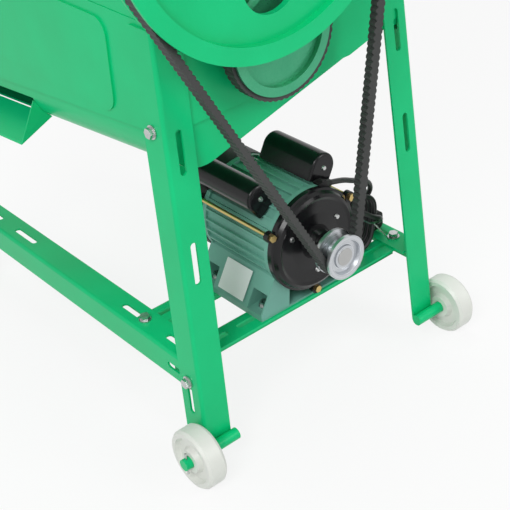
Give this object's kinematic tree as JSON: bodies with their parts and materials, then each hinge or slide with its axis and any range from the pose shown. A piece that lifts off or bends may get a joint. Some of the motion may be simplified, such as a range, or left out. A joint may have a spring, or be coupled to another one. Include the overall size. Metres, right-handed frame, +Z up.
{
  "type": "corn sheller",
  "caption": "Motor-driven corn sheller: a splayed wheeled stand, a toothed rotor over a slotted screen, feed hopper, grain chute and open V-belt drives.",
  "frame": {"origin": "on the floor, under the middle of the overall box measured without the power cord, its hank, tie and plug", "axes": "+X towards the belt drives and wheels, -Y towards the grain chute, +Z up"},
  "size_m": [0.7353, 0.515, 1.052],
  "materials": {
    "green_paint": "semi-gloss emerald enamel over steel",
    "cast_paint": "dark painted cast iron",
    "teal_paint": "grey-teal enamel",
    "black_gloss": "gloss black",
    "black_plastic": "matte black",
    "zinc_steel": "bright zinc plating",
    "bare_steel": "turned steel",
    "mill_steel": "unpainted mill steel",
    "turned_aluminium": "turned aluminium",
    "belt_rubber": "matte cogged rubber",
    "cord_rubber": "satin black sheath",
    "white_nylon": "white moulded nylon"
  },
  "bodies": {
    "machine_body": {"leg_front_near": "green_paint", "leg_front_far": "green_paint", "leg_rear_near": "green_paint", "leg_rear_far": "green_paint", "side_rail_near": "green_paint", "side_rail_far": "green_paint", "motor_rail_front": "green_paint", "motor_rail_rear": "green_paint", "axle_near": "bare_steel", "axle_far": "bare_steel", "axle_split_pins": "zinc_steel", "leg_casing_bolts": "zinc_steel", "leg_rail_bolts": "zinc_steel", "cross_rail_bolts": "zinc_steel", "motor_foot_bolts": "zinc_steel", "lower_casing": "green_paint", "grain_trough": "green_paint", "kernel_chute": "green_paint", "drum_end_front": "green_paint", "drum_end_rear": "green_paint", "side_panel_near": "green_paint", "side_panel_far": "green_paint", "drum_cover": "green_paint", "cover_bolts": "zinc_steel", "concave_screen": "mill_steel", "grain_board": "green_paint", "feed_throat": "green_paint", "feed_hopper": "green_paint", "cob_outlet": "green_paint", "rotor_bearing_front": "cast_paint", "rotor_bearing_rear": "cast_paint", "main_belt": "belt_rubber", "fan_belt": "belt_rubber", "fan_bearings": "cast_paint", "motor_housing": "teal_paint", "motor_base": "teal_paint", "motor_front_cover": "black_gloss", "motor_cowl": "black_plastic", "motor_through_bolts": "zinc_steel", "capacitor_cover_far": "black_gloss", "capacitor_cover_near": "black_gloss", "cord_gland": "black_plastic", "power_cord": "cord_rubber", "cord_hank": "cord_rubber", "power_plug": "black_plastic", "cord_tie": "zinc_steel"},
    "rotor": {"rotor_shaft": "bare_steel", "rotor_drum": "mill_steel", "shelling_teeth": "mill_steel", "driven_pulley": "green_paint", "fan_drive_pulley": "turned_aluminium"},
    "fan_rotor": {"fan_shaft": "bare_steel", "fan_impeller": "mill_steel", "fan_pulley": "turned_aluminium"},
    "motor_rotor": {"motor_shaft": "bare_steel", "motor_pulley": "turned_aluminium"},
    "near_wheel": {"wheel_near": "white_nylon"},
    "far_wheel": {"wheel_far": "white_nylon"},
    "gate": {"hopper_gate": "green_paint"},
    "flap": {"outlet_flap": "green_paint"}
  },
  "joints": [
    {"name": "rotor_spin", "type": "hinge", "parent": "machine_body", "child": "rotor", "pos_m": [0, -0.065, 0.737], "axis": [1, 0, 0], "continuous": true},
    {"name": "fan_spin", "type": "hinge", "parent": "machine_body", "child": "fan_rotor", "pos_m": [0, -0.038, 0.55], "axis": [1, 0, 0], "continuous": true},
    {"name": "motor_spin", "type": "hinge", "parent": "machine_body", "child": "motor_rotor", "pos_m": [0.3415, 0.0124, 0.2402], "axis": [1, 0, 0], "continuous": true},
    {"name": "near_wheel_spin", "type": "hinge", "parent": "machine_body", "child": "near_wheel", "pos_m": [0.32425, -0.23, 0.042], "axis": [0, 1, 0], "continuous": true},
    {"name": "far_wheel_spin", "type": "hinge", "parent": "machine_body", "child": "far_wheel", "pos_m": [0.32425, 0.23, 0.042], "axis": [0, 1, 0], "continuous": true},
    {"name": "gate_slide", "type": "slide", "parent": "machine_body", "child": "gate", "axis": [0, -1, 0], "range_m": [0, 0.12]},
    {"name": "flap_swing", "type": "hinge", "parent": "machine_body", "child": "flap", "pos_m": [-0.36416, -0.065, 0.6825], "axis": [0, 1, 0], "range_deg": [0, 75]}
  ],
  "couplings": [
    {"joint": "motor_spin", "follows": "rotor_spin", "ratio": 7.3269},
    {"joint": "fan_spin", "follows": "rotor_spin", "ratio": 1.1781}
  ]
}
